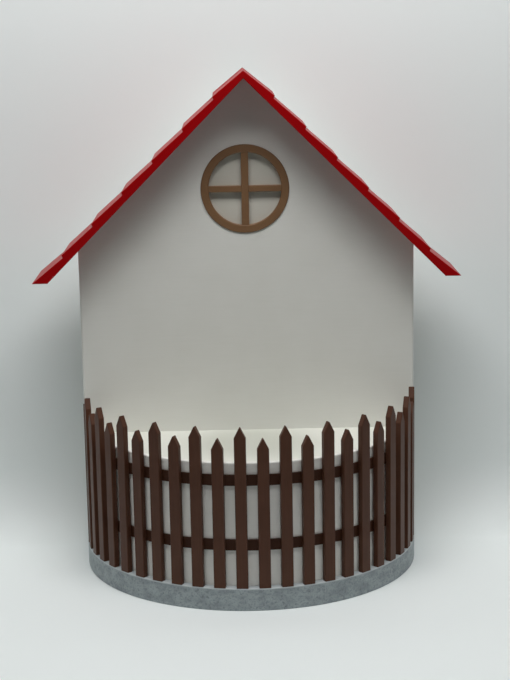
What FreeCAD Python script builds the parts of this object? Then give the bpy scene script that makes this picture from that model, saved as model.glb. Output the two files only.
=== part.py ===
import FreeCAD, Part
import math
import os

# House-shaped money box: a shallow gabled house with a stepped roof stands on a half-round plinth,
# behind a half-round drum that holds the coins. A picket fence runs round the drum.
# The origin is on the plinth's underside, at the centre of its round front, in the plane of the
# house's front face. +Z is up and the front faces -Y. All lengths are in millimetres.

Vector = FreeCAD.Vector
UP = Vector(0, 0, 1)
BACK = Vector(0, 1, 0)
SAME = 1e-6

# House panels
house_width = 160.0
house_depth = 24.0
house_wall = 3.0
side_wall_height = 141.9
corner_round = 1.2
doorway_leg = 18.0
doorway_lintel = 8.0

# Plinth
plinth_height = 10.5
plinth_round = 0.4
lip_height = 2.0
lip_width = 2.0

# Drum and yard
drum_wall = 2.5
drum_height = 57.1
rim_round = 0.6
yard_drop = 4.9
yard_thickness = 2.5
yard_ledge = 1.5

# Fence
picket_count = 24
picket_width = 5.25
picket_thickness = 2.7
picket_inset = 0.1
tall_picket = 74.2
short_picket = 69.1
picket_point = 5.2
picket_round = 0.35
rail_height = 5.0
rail_thickness = 0.8
lower_rail_rise = 16.9
upper_rail_drop = 5.3

# Window, set in a round recess in the front gable
window_diameter = 41.9
window_ring_width = 3.7
window_ring_depth = 2.6
window_recess = 2.0
window_round = 0.4
bar_round = 0.3
upright_width = 3.5
crossbar_width = 3.0
bar_depth = 2.4
window_drop = 52.2

# Roof: plumb thicknesses are measured straight up from the sloping underside
roof_pitch = 45.0
roof_overhang = 16.0
eave_overhang = 20.6
course_count = 7
ridge_plumb = 3.6
course_upper_plumb = 4.5
course_lower_plumb = 6.3
eave_plumb = 7.35
course_undercut = 0.5
roof_round = 0.3

# Coin slot through the ridge
slot_length = 34.0
slot_width = 5.0

# Stopper in the rear wall
stopper_bore = 36.0
flange_width = 3.0
plug_length = 7.5
plug_wall = 4.0
plug_web = 2.3
plug_lead = 1.0
flange_set_back = 0.2
flange_round = 0.4
grip_bar = 6.0
seat_length = 6.0
seat_land = 5.0
seat_foot_gap = 2.0

# Clearances
glue_gap = 0.05
bar_end_gap = 0.02
drop_in_gap = 0.2
locating_gap = 0.15
running_gap = 0.08
flange_gap = 0.3

# Values worked out from the driving dimensions
half_width = house_width / 2
pitch_slope = math.tan(math.radians(roof_pitch))
plinth_top = plinth_height
wall_top = plinth_top + side_wall_height
roof_apex = wall_top + half_width * pitch_slope
eave_reach = half_width + eave_overhang
rim_top = plinth_top + drum_height
yard_top = rim_top - yard_drop
yard_under = yard_top - yard_thickness
picket_outer = half_width - picket_inset
picket_inner = picket_outer - picket_thickness
rail_outer = picket_inner - glue_gap
rail_inner = rail_outer - rail_thickness
drum_radius = rail_inner - glue_gap
drum_bore = drum_radius - drum_wall
chamber_radius = drum_bore - yard_ledge
lower_rail_bottom = plinth_top + lower_rail_rise
upper_rail_bottom = rim_top - upper_rail_drop - rail_height
window_height = roof_apex - window_drop
ring_front = window_recess - window_ring_depth
bar_front = window_recess - bar_depth
bar_lap = window_recess - bar_depth / 2
lip_top = plinth_top + lip_height
seat_face = house_depth - house_wall
bore_radius = stopper_bore / 2
recess_radius = bore_radius + flange_width
seat_radius = recess_radius + seat_land
stopper_height = lip_top + seat_foot_gap + seat_radius


def block(low, high):
    """A box between two corners."""
    size = high - low
    return Part.makeBox(size.x, size.y, size.z, low)


def half_drum(radius, bottom, top):
    """The front half of an upright cylinder on the origin's axis."""
    shape = Part.makeCylinder(radius, top - bottom, Vector(0, 0, bottom), UP, 180)
    shape.rotate(Vector(0, 0, 0), UP, 180)
    return shape


def half_ring(outer, inner, bottom, top):
    """The front half of an upright ring."""
    return half_drum(outer, bottom, top).cut(half_drum(inner, bottom, top))


def rod(radius, height, front, back):
    """A cylinder that runs from front to back at a height above the table."""
    return Part.makeCylinder(radius, back - front, Vector(0, front, height), BACK)


def panel(outline, front, back):
    """A flat piece: an outline of (x, z) points carried from front to back."""
    points = [Vector(x, front, z) for x, z in outline]
    face = Part.Face(Part.makePolygon(points + points[:1]))
    return face.extrude(BACK * (back - front))


def rounded(shape, radius, wanted):
    """The shape with a fillet on each edge that the test accepts."""
    edges = [edge for edge in shape.Edges if wanted(edge)]
    return shape.makeFillet(radius, edges)


def level_edge(edge, height):
    """True for an edge that lies at one height."""
    box = edge.BoundBox
    return abs(box.ZMin - height) < SAME and abs(box.ZMax - height) < SAME


def flat_edge(edge, depth):
    """True for an edge that lies in one plane of constant Y."""
    box = edge.BoundBox
    return abs(box.YMin - depth) < SAME and abs(box.YMax - depth) < SAME


def upright_edge(edge):
    """True for an edge that runs straight up."""
    box = edge.BoundBox
    return box.XLength < SAME and box.YLength < SAME


def straight(edge):
    """True for an edge that is a straight line."""
    return edge.Curve.TypeId == "Part::GeomLine"


def roof_underside(x):
    """Height of the roof's underside at a distance from the ridge line."""
    return roof_apex - abs(x) * pitch_slope


def make_plinth():
    """Half-round slab with a low lip that locates the drum and the walls from inside."""
    footprint = block(Vector(-half_width, 0, 0), Vector(half_width, house_depth, plinth_top))
    slab = half_drum(half_width, 0, plinth_top).fuse(footprint).removeSplitter()
    slab = rounded(slab, plinth_round, lambda edge: level_edge(edge, 0) or level_edge(edge, plinth_top))
    lip_radius = chamber_radius - locating_gap
    drum_lip = half_ring(lip_radius, lip_radius - lip_width, plinth_top, lip_top)
    reach = half_width - house_wall - locating_gap
    rear = seat_face - locating_gap
    front = house_wall + locating_gap
    house_lip = block(Vector(-reach, front, plinth_top), Vector(reach, rear, lip_top))
    hollow_low = Vector(-reach + lip_width, front, plinth_top)
    hollow_high = Vector(reach - lip_width, rear - lip_width, lip_top)
    house_lip = house_lip.cut(block(hollow_low, hollow_high))
    return slab.fuse([drum_lip, house_lip]).removeSplitter()


def gable(front, back, face):
    """A gable panel that stands on the plinth, with the corners of its outer face rounded."""
    outline = [
        (-half_width, plinth_top),
        (half_width, plinth_top),
        (half_width, wall_top),
        (0, roof_apex),
        (-half_width, wall_top),
    ]
    wall = panel(outline, front, back)
    return rounded(wall, corner_round, lambda edge: upright_edge(edge) and flat_edge(edge, face))


def make_front_wall():
    """Front gable with the window's recess. Behind the drum a wide doorway lets the coins through."""
    doorway_half = chamber_radius - doorway_leg
    low = Vector(-doorway_half, 0, plinth_top)
    high = Vector(doorway_half, house_wall, yard_under - doorway_lintel)
    recess = rod(window_diameter / 2 + glue_gap, window_height, 0, window_recess)
    return gable(0, house_wall, 0).cut([block(low, high), recess])


def make_rear_wall():
    """Rear gable with a round hole for the stopper's flange."""
    wall = gable(seat_face, house_depth, house_depth)
    return wall.cut(rod(recess_radius, stopper_height, seat_face, house_depth))


def make_side_wall(side):
    """Side panel between the gables, with its top bevelled to the roof's pitch."""
    inside = half_width - house_wall
    outline = [
        (side * inside, plinth_top),
        (side * half_width, plinth_top),
        (side * half_width, wall_top),
        (side * inside, roof_underside(inside)),
    ]
    return panel(outline, house_wall, seat_face)


def make_stopper_seat():
    """Ring glued behind the hole in the rear wall, which grips the stopper."""
    front = seat_face - seat_length
    ring = rod(seat_radius, stopper_height, front, seat_face)
    return ring.cut(rod(bore_radius, stopper_height, front, seat_face))


def make_stopper():
    """Push-in plug with a flange and two pockets that leave a bar to pinch."""
    plug_front = seat_face - plug_length
    flange_back = house_depth - flange_set_back
    plug_radius = bore_radius - running_gap
    plug = rod(plug_radius, stopper_height, plug_front, seat_face)
    plug = plug.makeChamfer(plug_lead, [edge for edge in plug.Edges if flat_edge(edge, plug_front)])
    flange = rod(recess_radius - flange_gap, stopper_height, seat_face, flange_back)
    pockets = rod(plug_radius - plug_wall, stopper_height, plug_front + plug_web, flange_back)
    low = Vector(-plug_radius, plug_front, stopper_height - grip_bar / 2)
    high = Vector(plug_radius, flange_back, stopper_height + grip_bar / 2)
    stopper = plug.fuse(flange).cut(pockets.cut(block(low, high))).removeSplitter()
    return rounded(stopper, flange_round, lambda edge: flat_edge(edge, flange_back))


def make_drum_wall():
    """Half-round wall of the coin chamber, with a ledge inside for the yard floor."""
    wall = half_ring(drum_radius, drum_bore, plinth_top, rim_top)
    wall = rounded(wall, rim_round, lambda edge: level_edge(edge, rim_top) and not straight(edge))
    return wall.fuse(half_ring(drum_bore, chamber_radius, plinth_top, yard_under)).removeSplitter()


def make_yard_floor():
    """Half-disc that drops into the drum and rests on its ledge."""
    return half_drum(drum_bore - drop_in_gap, yard_under, yard_top)


def make_rail(bottom):
    """Half-round fence rail between the drum and the pickets."""
    return half_ring(rail_outer, rail_inner, bottom, bottom + rail_height)


def make_picket(length, turn):
    """Flat pointed slat that stands on the plinth's edge, turned to its place in the fence."""
    half = picket_width / 2
    top = plinth_top + length
    shoulder = top - picket_point
    outline = [(-half, plinth_top), (half, plinth_top), (half, shoulder), (0, top), (-half, shoulder)]
    slat = panel(outline, -picket_outer, -picket_inner)
    slat = rounded(slat, picket_round, lambda edge: not level_edge(edge, plinth_top))
    slat.rotate(Vector(0, 0, 0), UP, turn)
    return slat


def make_window_ring():
    """Round frame that sits on the floor of the recess and stands a little proud of the gable."""
    outer = window_diameter / 2
    ring = rod(outer, window_height, ring_front, window_recess)
    ring = ring.cut(rod(outer - window_ring_width, window_height, ring_front, window_recess))
    return rounded(ring, window_round, lambda edge: flat_edge(edge, ring_front))


def window_bar(half_x, half_z):
    """A straight bar across the ring, with its ends cut round to fit inside it."""
    low = Vector(-half_x, bar_front, window_height - half_z)
    high = Vector(half_x, window_recess, window_height + half_z)
    opening_radius = window_diameter / 2 - window_ring_width - bar_end_gap
    bar = block(low, high).common(rod(opening_radius, window_height, bar_front, window_recess))
    return rounded(bar, bar_round, lambda edge: flat_edge(edge, bar_front) and straight(edge))


def make_window_upright():
    """Upright bar, halved at the back where the crossbar passes."""
    bar = window_bar(upright_width / 2, window_diameter)
    lap = crossbar_width / 2
    low = Vector(-window_diameter, bar_lap, window_height - lap)
    high = Vector(window_diameter, window_recess, window_height + lap)
    return bar.cut(block(low, high))


def make_window_crossbar():
    """Level bar, halved at the front where the upright passes."""
    bar = window_bar(window_diameter, crossbar_width / 2)
    lap = upright_width / 2
    low = Vector(-lap, bar_front, window_height - window_diameter)
    high = Vector(lap, bar_lap, window_height + window_diameter)
    return bar.cut(block(low, high))


def make_roof_slope(side):
    """One slope of the roof: stepped courses above a flat underside, mitred at the ridge."""
    course_run = eave_reach / course_count
    eave_height = roof_underside(eave_reach) + eave_plumb
    outline = [(0, roof_apex), (0, roof_apex + ridge_plumb)]
    for course in range(1, course_count):
        x = course * course_run
        notch = x - course_undercut
        outline.append((side * x, roof_underside(x) + course_lower_plumb))
        outline.append((side * notch, roof_underside(notch) + course_upper_plumb))
    outline.append((side * eave_reach, eave_height))
    outline.append((side * (roof_apex - eave_height) / pitch_slope, eave_height))
    front = -roof_overhang
    slope = panel(outline, front, house_depth)
    slope = rounded(slope, roof_round, lambda edge: flat_edge(edge, front) and not upright_edge(edge))
    slot_low = Vector(-slot_length / 2, house_depth / 2 - slot_width / 2, 0)
    slot_high = Vector(slot_length / 2, house_depth / 2 + slot_width / 2, roof_apex + eave_reach)
    return slope.cut(block(slot_low, slot_high))


def fence_turns():
    """Turn of each picket in degrees, left to right, with equal gaps from wall to wall."""
    middle = (picket_outer + picket_inner) / 2
    step = (math.pi + picket_width / middle) / (picket_count + 1)
    first = -step * (picket_count - 1) / 2
    return [math.degrees(first + step * number) for number in range(picket_count)]


def make_parts():
    """Every piece of the money box, by name."""
    parts = {
        "plinth": make_plinth(),
        "front_wall": make_front_wall(),
        "rear_wall": make_rear_wall(),
        "left_wall": make_side_wall(-1),
        "right_wall": make_side_wall(1),
        "stopper_seat": make_stopper_seat(),
        "stopper": make_stopper(),
        "drum_wall": make_drum_wall(),
        "yard_floor": make_yard_floor(),
        "lower_rail": make_rail(lower_rail_bottom),
        "upper_rail": make_rail(upper_rail_bottom),
        "window_ring": make_window_ring(),
        "window_upright": make_window_upright(),
        "window_crossbar": make_window_crossbar(),
        "roof_left": make_roof_slope(-1),
        "roof_right": make_roof_slope(1),
    }
    for number, turn in enumerate(fence_turns(), start=1):
        length = short_picket if number % 2 else tall_picket
        parts[f"picket_{number:02d}"] = make_picket(length, turn)
    return parts


os.makedirs("parts", exist_ok=True)
for name, shape in make_parts().items():
    solids = shape.Solids
    print(f"{name}: {len(solids)} solid, valid {shape.isValid()}, {shape.Volume / 1000:.2f} cm3")
    solid = solids[0] if len(solids) == 1 else Part.makeCompound(solids)
    solid.exportStep(f"parts/{name}.step")
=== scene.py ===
# %% [markdown]
# # Dressing a house-shaped money box
# The money box is a little house with a red stepped roof. It stands on a grey plinth, behind a
# half-round drum that holds the coins, and a brown picket fence runs round the drum.
# Every solid piece arrives finished from the CAD model, at its real size in metres, so this lesson
# moves nothing. It sets up the camera, the studio and the light, and gives each piece its finish.

# %% Load the fixed frame
import math

import bpy
from mathutils import Matrix, Vector


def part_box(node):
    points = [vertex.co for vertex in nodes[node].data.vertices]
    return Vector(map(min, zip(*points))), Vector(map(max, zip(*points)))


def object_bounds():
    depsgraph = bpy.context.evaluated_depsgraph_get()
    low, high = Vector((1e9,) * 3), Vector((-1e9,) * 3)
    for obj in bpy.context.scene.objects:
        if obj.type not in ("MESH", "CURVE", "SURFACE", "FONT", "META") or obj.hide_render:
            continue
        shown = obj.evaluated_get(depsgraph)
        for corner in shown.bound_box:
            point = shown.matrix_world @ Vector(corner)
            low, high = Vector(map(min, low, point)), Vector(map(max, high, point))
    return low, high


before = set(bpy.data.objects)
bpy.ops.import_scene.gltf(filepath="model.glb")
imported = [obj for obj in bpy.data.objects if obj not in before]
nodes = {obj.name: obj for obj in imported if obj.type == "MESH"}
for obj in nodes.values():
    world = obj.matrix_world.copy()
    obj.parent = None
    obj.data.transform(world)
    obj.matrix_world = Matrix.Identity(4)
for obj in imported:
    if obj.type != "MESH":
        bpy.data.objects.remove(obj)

cad_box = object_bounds()
low, high = cad_box
middle = (low + high) / 2
size_mm = [round(1000 * side, 1) for side in high - low]
print("pieces:", len(nodes), "size in mm:", size_mm)

# %% [markdown]
# ## The camera
# A picture can be matched by eye, by sliding the camera about until the edges agree. Here the
# camera was worked out instead: the straight edges and the round rims of a real house give its
# place, its turn and its focal length together. The focal length is in pixels of a 510 by 680
# picture, and a camera with a 36 mm sensor along its long side needs it in millimetres.

# %% Place the camera
PICTURE_HEIGHT = 680
SENSOR = 36.0
FOCAL_PIXELS = 1622.3
CAMERA_PLACE = Vector((-0.00718, -0.76531, 0.26382))
TURN_RIGHT = 0.01396
LOOK_DOWN = 0.20191
ROLL = 0.01772

view = bpy.data.cameras.new("studio_camera")
view.sensor_width = SENSOR
view.lens = FOCAL_PIXELS * SENSOR / PICTURE_HEIGHT
camera = bpy.data.objects.new("studio_camera", view)
bpy.context.scene.collection.objects.link(camera)
heading = Matrix.Rotation(-TURN_RIGHT, 4, "Z")
tilt = Matrix.Rotation(math.pi / 2 - LOOK_DOWN, 4, "X")
lean = Matrix.Rotation(-ROLL, 4, "Z")
camera.matrix_world = Matrix.Translation(CAMERA_PLACE) @ heading @ tilt @ lean
bpy.context.scene.camera = camera
print("lens in mm:", round(view.lens, 1))

# %% [markdown]
# ## Shader maths as Python
# A material in Blender is a graph of nodes. Placing dozens of Math nodes by hand hides what they
# work out, so one small class wraps a socket: adding, subtracting or multiplying two sockets adds
# the Math node, and one method makes every other kind of node.

# %% Wrap a socket


class Signal:
    """One socket of a shader tree, which can be used in Python expressions."""

    def __init__(self, tree, socket=None):
        self.tree = tree
        self.socket = socket

    def node(self, kind, settings=None, sockets=None, output=0):
        """Adds a node, its settings first and then the values or links of its sockets."""
        made = self.tree.nodes.new(kind)
        for name, value in (settings or {}).items():
            setattr(made, name, value)
        for name, value in (sockets or {}).items():
            if isinstance(value, Signal):
                self.tree.links.new(value.socket, made.inputs[name])
            else:
                made.inputs[name].default_value = value
        return Signal(self.tree, made.outputs[output])

    def maths(self, operation, *values):
        """A Math node on these values."""
        return self.node("ShaderNodeMath", {"operation": operation}, dict(enumerate(values)))

    def __add__(self, other):
        return self.maths("ADD", self, other)

    __radd__ = __add__

    def __sub__(self, other):
        return self.maths("SUBTRACT", self, other)

    def __rsub__(self, other):
        return self.maths("SUBTRACT", other, self)

    def __mul__(self, other):
        return self.maths("MULTIPLY", self, other)

    __rmul__ = __mul__

    def stretched(self, x, y, z):
        """A place multiplied along each axis."""
        return self.node("ShaderNodeVectorMath", {"operation": "MULTIPLY"}, {0: self, 1: (x, y, z)})

    def away_from(self, point):
        """The vector from a point to this place."""
        return self.node("ShaderNodeVectorMath", {"operation": "SUBTRACT"}, {0: self, 1: point})

    def grain(self, size, detail=2.0):
        """Soft noise from 0 to 1, whose blotches are about this many metres across."""
        sockets = {"Vector": self, "Scale": 1 / size, "Detail": detail}
        return self.node("ShaderNodeTexNoise", {}, sockets)

    def length(self):
        """The length of a vector."""
        return self.node("ShaderNodeVectorMath", {"operation": "LENGTH"}, {0: self}, "Value")

    def step(self, start, end):
        """0 below start, 1 above end and a smooth rise between them."""
        sockets = {"Value": self, "From Min": start, "From Max": end}
        return self.node("ShaderNodeMapRange", {"interpolation_type": "SMOOTHSTEP"}, sockets)

    def blend(self, first, second):
        """The first colour where this value is 0 and the second where it is 1."""
        return self.node("ShaderNodeMix", {"data_type": "RGBA"}, {0: self, 6: first, 7: second}, 2)


print("Signal is ready")

# %% [markdown]
# ## The studio paper
# Small products are often photographed on a sheet of paper that lies flat in front and curves up
# close behind, so that no corner shows. Two planes would leave a line where they meet. One outline
# of points, drawn in the side view and carried sideways, gives the smooth bend of a real sheet.
# The sheet is small, and a plain table lies under it for the views from other sides.

# %% Bend a sheet and lay a table under it
SHEET_FRONT = -0.19
SHEET_BACK = 0.047
SHEET_BEND = 0.032
SHEET_TOP = 0.8
SHEET_HALF_WIDTH = 0.4
BEND_STEPS = 24
TABLE_REACH = 2.0
TABLE_DROP = 0.0005


def bend_points():
    """Side view of the bend: a quarter circle from flat to upright."""
    start = SHEET_BACK - SHEET_BEND
    turns = [math.pi / 2 * step / BEND_STEPS for step in range(BEND_STEPS + 1)]
    return [(start + SHEET_BEND * math.sin(a), SHEET_BEND - SHEET_BEND * math.cos(a)) for a in turns]


def make_sheet(name, outline, half_width):
    """A side view of points, carried sideways into one smooth mesh."""
    corners = [(side * half_width, y, z) for y, z in outline for side in (-1, 1)]
    faces = [(2 * i, 2 * i + 1, 2 * i + 3, 2 * i + 2) for i in range(len(outline) - 1)]
    mesh = bpy.data.meshes.new(name)
    mesh.from_pydata(corners, [], faces)
    mesh.shade_smooth()
    made = bpy.data.objects.new(name, mesh)
    bpy.context.scene.collection.objects.link(made)
    return made


sheet_outline = [(SHEET_FRONT, 0.0), *bend_points(), (SHEET_BACK, SHEET_TOP)]
sheet = make_sheet("paper_sheet", sheet_outline, SHEET_HALF_WIDTH)
sheet.visible_shadow = False
table_outline = [(-TABLE_REACH, -TABLE_DROP), (TABLE_REACH, -TABLE_DROP)]
table = make_sheet("studio_table", table_outline, TABLE_REACH)
print("sheet faces:", len(sheet.data.polygons))

# %% [markdown]
# A wide white table would throw a lot of light up under the eaves, and a real studio has only the
# small sheet. The Light Path node tells which ray asks: the camera and gloss see a pale table, and
# bounced light sees a dim one. The lamps are small, so the far table would fade to black. It fades
# into a pale haze instead. From behind, the sheet is clear and lamps shine through it, so that the
# back of the house can be looked at too.

# %% Paper material


def srgb(red, green, blue):
    """A colour written as on a screen, from 0 to 255, as the linear light that shaders use."""
    shares = [value / 255 for value in (red, green, blue)]
    return (*[s / 12.92 if s <= 0.04045 else ((s + 0.055) / 1.055) ** 2.4 for s in shares], 1.0)


PALE_PAPER = srgb(239, 244, 243)
DIM_PAPER = srgb(60, 61, 60)
SURROUND_SEEN = 0.6
FADE_START = 0.25
FADE_END = 1.4


def looking(start):
    """1 for a ray from the camera, from gloss or through something clear, and 0 for bounced light."""
    asked_by = ("Is Camera Ray", "Is Glossy Ray", "Is Transmission Ray")
    camera_ray, gloss_ray, clear_ray = [start.node("ShaderNodeLightPath", output=ray) for ray in asked_by]
    return camera_ray + gloss_ray + clear_ray


def make_paper(name, bounce_colour):
    """Pale to the camera and to gloss, its own colour to bounced light, and clear from behind."""
    material = bpy.data.materials.new(name)
    material.use_nodes = True
    tree = material.node_tree
    tree.nodes.remove(tree.nodes["Principled BSDF"])
    start = Signal(tree)
    seen = looking(start)
    bounce = start.node("ShaderNodeBsdfDiffuse", {}, {"Color": bounce_colour})
    paper = start.node("ShaderNodeBsdfDiffuse", {}, {"Color": PALE_PAPER})
    haze = start.node("ShaderNodeEmission", {}, {"Color": PALE_PAPER, "Strength": SURROUND_SEEN})
    place = start.node("ShaderNodeTexCoord", output="Object")
    far = place.stretched(1, 1, 0).length().step(FADE_START, FADE_END)
    pale = start.node("ShaderNodeMixShader", {}, {0: far, 1: paper, 2: haze})
    front = start.node("ShaderNodeMixShader", {}, {0: seen, 1: bounce, 2: pale})
    behind = start.node("ShaderNodeNewGeometry", output="Backfacing")
    clear = start.node("ShaderNodeBsdfTransparent")
    both = start.node("ShaderNodeMixShader", {}, {0: behind, 1: front, 2: clear})
    tree.links.new(both.socket, tree.nodes["Material Output"].inputs["Surface"])
    return material


sheet.data.materials.append(make_paper("studio_paper", PALE_PAPER))
table.data.materials.append(make_paper("studio_table", DIM_PAPER))
print("papers:", sheet.data.materials[0].name, table.data.materials[0].name)

# %% [markdown]
# ## One plastic, many colours
# Every piece is satin plastic, built up in fine layers. They share a helper that makes the shader
# and hands back the place on the piece, in metres, from which each finish works out its detail.
# Sizes of grain are then real sizes, and they stay right from every side.

# %% Start a plastic
BUMP_HEIGHT = 0.0001


def plastic(name, build, gloss, bump_strength):
    """A material whose build function gives colour, roughness and height from a place."""
    material = bpy.data.materials.new(name)
    material.use_nodes = True
    tree = material.node_tree
    shader = tree.nodes["Principled BSDF"]
    shader.inputs["Specular IOR Level"].default_value = gloss
    place = Signal(tree).node("ShaderNodeTexCoord", output="Object")
    colour, roughness, height = build(place)
    sockets = {"Height": height, "Distance": BUMP_HEIGHT, "Strength": bump_strength}
    bump = place.node("ShaderNodeBump", {}, sockets)
    tree.links.new(colour.socket, shader.inputs["Base Color"])
    tree.links.new(roughness.socket, shader.inputs["Roughness"])
    tree.links.new(bump.socket, shader.inputs["Normal"])
    return material


def dress(names, material):
    """Gives a list of CAD nodes one material."""
    for name in names:
        slots = nodes[name].data.materials
        slots.clear()
        slots.append(material)
    print(material.name, "on", len(names), "pieces")


# %% [markdown]
# ## White walls
# The walls, the drum and the yard are warm white. Close up, such plastic shows level layers a
# fraction of a millimetre thick. Evenly spaced lines would beat against the picture's own pixels,
# so the layers come from noise that is stretched flat, which never repeats.

# %% Warm white in level layers
WALL_LAYER = 0.0006
LAYER_FLATTEN = 0.03
WALL_CLOUD = 0.02
WALL_COLOURS = srgb(219, 219, 212), srgb(232, 232, 227)
WHITE_GLOSS = 0.35
LAYER_BUMP = 0.25


def layered_white(place):
    """The tone, roughness and height of level layers under a soft cloudiness."""
    layers = place.stretched(LAYER_FLATTEN, LAYER_FLATTEN, 1).grain(WALL_LAYER, 3)
    clouds = place.grain(WALL_CLOUD, 3)
    tone = 0.65 * clouds + 0.35 * layers
    roughness = 0.36 + 0.1 * clouds + 0.06 * layers
    return tone, roughness, layers


def white_build(place):
    """Warm white."""
    tone, roughness, layers = layered_white(place)
    return tone.blend(*WALL_COLOURS), roughness, layers


walls = ["rear_wall", "left_wall", "right_wall", "stopper_seat"]
dress(walls, plastic("house_white", white_build, WHITE_GLOSS, LAYER_BUMP))

# %% [markdown]
# The window's panes are the floor of a shallow recess in the front wall. They are painted a little
# creamier and darker than the wall, as painted shade in the recess. They are no piece of their own,
# so the colour is chosen by the distance from the window's middle, which the ring's box gives. The
# change lies under the ring.

# %% Cream panes in the front wall, as painted shade
ring_corners = [Vector(corner) for corner in nodes["window_ring"].bound_box]
window_middle = sum(ring_corners, Vector()) / len(ring_corners)
window_reach = max(corner.x for corner in ring_corners)
pane_shade_edge = 0.9 * window_reach, 0.92 * window_reach
PANE_SHADE_COLOURS = srgb(199, 196, 184), srgb(212, 209, 199)


def front_build(place):
    """Warm white, with darker cream inside the window's ring as painted shade."""
    tone, roughness, layers = layered_white(place)
    wall = tone.blend(*WALL_COLOURS)
    # painted shade: the panes are darker and creamier inside the ring's recess
    shaded_pane = tone.blend(*PANE_SHADE_COLOURS)
    unshaded_share = place.away_from(window_middle).stretched(1, 0, 1).length().step(*pane_shade_edge)
    return unshaded_share.blend(shaded_pane, wall), roughness, layers


dress(["front_wall"], plastic("front_white", front_build, WHITE_GLOSS, LAYER_BUMP))

# %% [markdown]
# The drum behind the fence is the same plastic, painted a purer white as painted light, so that it
# shines out between the pickets that shade it. The finish only changes its two colours.

# %% Purer white for the drum, as painted light
DRUM_PAINTED_LIGHT_COLOURS = srgb(247, 246, 239), srgb(255, 254, 249)


def drum_build(place):
    """The wall's layers in a purer white, which is painted light."""
    tone, roughness, layers = layered_white(place)
    # painted light: a purer white than the walls, so the drum is brighter between the pickets
    return tone.blend(*DRUM_PAINTED_LIGHT_COLOURS), roughness, layers


dress(["drum_wall"], plastic("drum_white", drum_build, WHITE_GLOSS, LAYER_BUMP))

# %% [markdown]
# The yard lies flat, so its top shows the side of no layer: it is one skin with the fine swirl that
# a flat face gets. Its colour is mostly painted shade and light: a creamier, darker white than the
# walls, with painted shade round its middle and painted light away from it, and even noise gives the
# swirl.

# %% Cream white for the yard, with painted shade and light
YARD_MIDDLE = (0, -0.024, 0)
PAINTED_SHADE_PATCH = 0.012, 0.042
YARD_SWIRL = 0.0012
YARD_CLOUD = 0.015
YARD_SHADE_TO_LIGHT_COLOURS = srgb(197, 199, 187), srgb(235, 236, 227)
SWIRL_BUMP = 0.2


def yard_build(place):
    """Cream white with a fine swirl, painted shade round its middle and painted light away from it."""
    swirl = place.grain(YARD_SWIRL, 3)
    clouds = place.grain(YARD_CLOUD, 3)
    # painted shade round the middle of the yard and painted light towards its rim
    unshaded_share = place.away_from(YARD_MIDDLE).stretched(1, 1, 0).length().step(*PAINTED_SHADE_PATCH)
    tone = 0.7 * unshaded_share + 0.18 * clouds + 0.12 * swirl
    roughness = 0.34 + 0.1 * clouds
    return tone.blend(*YARD_SHADE_TO_LIGHT_COLOURS), roughness, swirl


dress(["yard_floor"], plastic("yard_cream", yard_build, WHITE_GLOSS, SWIRL_BUMP))

# %% [markdown]
# ## Red roof
# The roof is a clear deep red with a satin skin. Seen along the slope it turns pale, because any
# smooth plastic mirrors at a grazing angle. The Principled shader does that by itself, so the
# colour stays plain red and only the roughness wanders.

# %% Satin red
ROOF_CLOUD = 0.012
ROOF_SATIN = 0.0007
ROOF_COLOURS = srgb(146, 0, 4), srgb(162, 0, 5)
ROOF_GLOSS = 0.13
SATIN_BUMP = 0.15


def roof_build(place):
    """Deep red with a fine satin grain."""
    clouds = place.grain(ROOF_CLOUD, 3)
    satin = place.grain(ROOF_SATIN, 2)
    colour = clouds.blend(*ROOF_COLOURS)
    roughness = 0.32 + 0.08 * clouds + 0.08 * satin
    return colour, roughness, satin


dress(["roof_left", "roof_right"], plastic("roof_red", roof_build, ROOF_GLOSS, SATIN_BUMP))

# %% [markdown]
# ## Brown fence
# The twenty-four pickets are dark brown. Faint streaks run along each of them, as on planed wood.
# Noise that is stretched along the height gives the streaks, with no seam from picket to picket.

# %% Streaked brown
STREAK_DRAW = 0.06
PICKET_STREAK = 0.0008
FENCE_CLOUD = 0.009
PICKET_COLOURS = srgb(67, 40, 27), srgb(90, 57, 41)
PICKET_GLOSS = 0.2
STREAK_BUMP = 0.25


def fence_build(place):
    """Dark brown with streaks along the pickets."""
    streaks = place.stretched(1, 1, STREAK_DRAW).grain(PICKET_STREAK, 3)
    clouds = place.grain(FENCE_CLOUD, 2)
    tone = 0.5 * streaks + 0.5 * clouds
    colour = tone.blend(*PICKET_COLOURS)
    roughness = 0.36 + 0.12 * streaks
    return colour, roughness, streaks


pickets = sorted(name for name in nodes if name.startswith("picket_"))
dress(pickets, plastic("fence_brown", fence_build, PICKET_GLOSS, STREAK_BUMP))

# %% [markdown]
# The two rails are thin strips bent round the drum, behind the pickets. They are painted a darker
# brown than the pickets, as painted shade where the pickets shade them, and their streaks run level.
# A strip bends in every direction of the plan, so its streaks come from noise that is stretched along
# x and y together.

# %% Darker strips for the rails, as painted shade
RAIL_STREAK = 0.0006
RAIL_SHADE_COLOURS = srgb(50, 27, 16), srgb(68, 40, 26)
RAIL_GLOSS = 0.1


def rail_build(place):
    """Very dark brown with level streaks; the darkness is painted shade."""
    streaks = place.stretched(STREAK_DRAW, STREAK_DRAW, 1).grain(RAIL_STREAK, 3)
    clouds = place.grain(FENCE_CLOUD, 2)
    tone = 0.5 * streaks + 0.5 * clouds
    # painted shade: a darker brown than the pickets, for the shade behind them
    colour = tone.blend(*RAIL_SHADE_COLOURS)
    roughness = 0.4 + 0.12 * streaks
    return colour, roughness, streaks


dress(["lower_rail", "upper_rail"], plastic("rail_brown", rail_build, RAIL_GLOSS, STREAK_BUMP))

# %% [markdown]
# ## Bronze window
# The window ring and its two bars are light bronze brown. A fine fleck lifts the colour a little
# in places, as pigment does in a bronze plastic.

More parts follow.
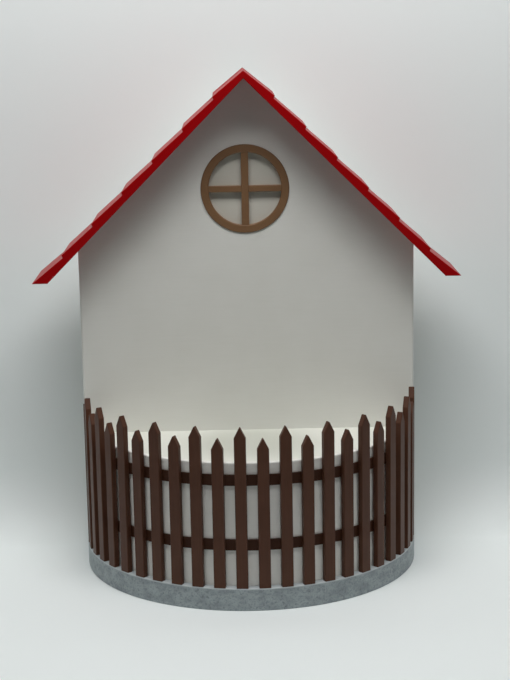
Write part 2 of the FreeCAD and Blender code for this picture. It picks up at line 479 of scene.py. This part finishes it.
# %% Flecked bronze
WINDOW_FLECK = 0.0006
WINDOW_CLOUD = 0.008
WINDOW_COLOURS = srgb(107, 78, 52), srgb(128, 96, 67)
FLECKED_GLOSS = 0.3
FLECK_BUMP = 0.2


def window_build(place):
    """Bronze brown with a fine fleck."""
    fleck = place.grain(WINDOW_FLECK, 2)
    clouds = place.grain(WINDOW_CLOUD, 2)
    tone = 0.5 * fleck + 0.5 * clouds
    colour = tone.blend(*WINDOW_COLOURS)
    roughness = 0.38 + 0.1 * fleck
    return colour, roughness, fleck


frame_pieces = ["window_ring", "window_upright", "window_crossbar"]
dress(frame_pieces, plastic("window_bronze", window_build, FLECKED_GLOSS, FLECK_BUMP))

# %% [markdown]
# ## Stone plinth
# The plinth looks like cast stone: a cool grey with dark flecks of half a millimetre to a
# millimetre over a soft mottle. One noise would look even, so two sizes of it, each cut by a smooth
# step, scatter the flecks, and a third, larger one mottles the grey. The stopper is the same stone.

# %% Flecked stone
COARSE_FLECK = 0.0013
FINE_FLECK = 0.0007
MOTTLE = 0.006
MOTTLE_FLATTEN = 1.6
STONE_COLOURS = srgb(142, 151, 154), srgb(166, 175, 177)
FLECK_COLOUR = srgb(119, 126, 130)


def stone_build(place):
    """Mottled cool grey with two sizes of dark fleck."""
    coarse = place.grain(COARSE_FLECK, 2).step(0.5, 0.7)
    fine = place.grain(FINE_FLECK, 2).step(0.5, 0.68)
    flecks = 0.55 * coarse + 0.45 * fine
    mottle = place.stretched(1, 1, MOTTLE_FLATTEN).grain(MOTTLE, 4).step(0.3, 0.7)
    colour = flecks.blend(mottle.blend(*STONE_COLOURS), FLECK_COLOUR)
    roughness = 0.46 + 0.12 * flecks
    return colour, roughness, 1 - flecks


dress(["stopper"], plastic("stone_grey", stone_build, FLECKED_GLOSS, FLECK_BUMP))

# %% [markdown]
# The top edge of the plinth catches the light from above, and a painted highlight makes it paler
# there. The pickets stand on that edge, so the foot of any picket gives its height, and the colour
# changes just below it.

# %% Painted highlight on the top edge of the plinth
HIGHLIGHT_BAND = 0.0008
EDGE_HIGHLIGHT_COLOUR = srgb(186, 193, 195)
ledge_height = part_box(pickets[0])[0][2]


def plinth_build(place):
    """The same stone, with a painted highlight along its top edge."""
    colour, roughness, height = stone_build(place)
    level = place.node("ShaderNodeSeparateXYZ", {}, {0: place}, "Z")
    # painted highlight along the top edge of the plinth
    painted_highlight = level.step(ledge_height - HIGHLIGHT_BAND, ledge_height - HIGHLIGHT_BAND / 3)
    return painted_highlight.blend(colour, EDGE_HIGHLIGHT_COLOUR), roughness, height


dress(["plinth"], plastic("plinth_stone", plinth_build, FLECKED_GLOSS, FLECK_BUMP))

# %% [markdown]
# ## Light
# A soft lamp above and a little in front leaves the shade under the eaves that gives the house its
# depth. A strip overhead lifts the yard, two faint cards at the sides catch the corners, and a lamp
# behind serves the views of the back. Lamps are placed on a sphere round the middle of the house, by
# angles as on a compass.

# %% Set the lamps


def lamp(name, azimuth, elevation, distance, width, depth, watts):
    """A soft rectangular lamp that faces the middle of the house. Azimuth 0 is the front."""
    light = bpy.data.lights.new(name, "AREA")
    light.shape = "RECTANGLE"
    light.size = width
    light.size_y = depth
    light.energy = watts
    holder = bpy.data.objects.new(name, light)
    bpy.context.scene.collection.objects.link(holder)
    round_by = math.radians(azimuth)
    up_by = math.radians(elevation)
    level = Vector((math.sin(round_by), -math.cos(round_by), 0))
    away = level * math.cos(up_by) + Vector((0, 0, math.sin(up_by)))
    holder.location = middle + distance * away
    holder.rotation_euler = (-away).to_track_quat("-Z", "Y").to_euler()


lamp("front_softbox", azimuth=0, elevation=66, distance=0.55, width=0.5, depth=0.15, watts=2.25)
lamp("top_strip", azimuth=0, elevation=78, distance=0.45, width=0.5, depth=0.1, watts=0.6)
lamp("rear_softbox", azimuth=180, elevation=6, distance=1.0, width=1.0, depth=0.3, watts=1.5)
for side, azimuth in (("left", -95), ("right", 95)):
    lamp(f"{side}_card", azimuth, elevation=8, distance=0.32, width=0.15, depth=0.2, watts=0.035)
print("lamps:", [item.name for item in bpy.data.lights])

# %% [markdown]
# The world fills whatever the sheet and the table leave open. A bright world would light the object
# from all sides and wash out its shade. The same test of rays as in the paper picks the background: a
# pale one for the camera and gloss, and a dim one for bounced light.

# %% Pale surroundings
SURROUND_LIGHT = 0.01

world = bpy.data.worlds.new("studio_world")
bpy.context.scene.world = world
world.use_nodes = True
sky = Signal(world.node_tree)
dim = sky.node("ShaderNodeBackground", {}, {"Color": PALE_PAPER, "Strength": SURROUND_LIGHT})
seen = sky.node("ShaderNodeBackground", {}, {"Color": PALE_PAPER, "Strength": SURROUND_SEEN})
surround = sky.node("ShaderNodeMixShader", {}, {0: looking(sky), 1: dim, 2: seen})
world.node_tree.links.new(surround.socket, world.node_tree.nodes["World Output"].inputs["Surface"])
bpy.context.scene.view_settings.view_transform = "Standard"
print("world:", world.name)

# %% [markdown]
# ## The size
# The finishes leave the size of the object as it was. The box of the solids was kept at the start.

# %% Finish
print("finished")
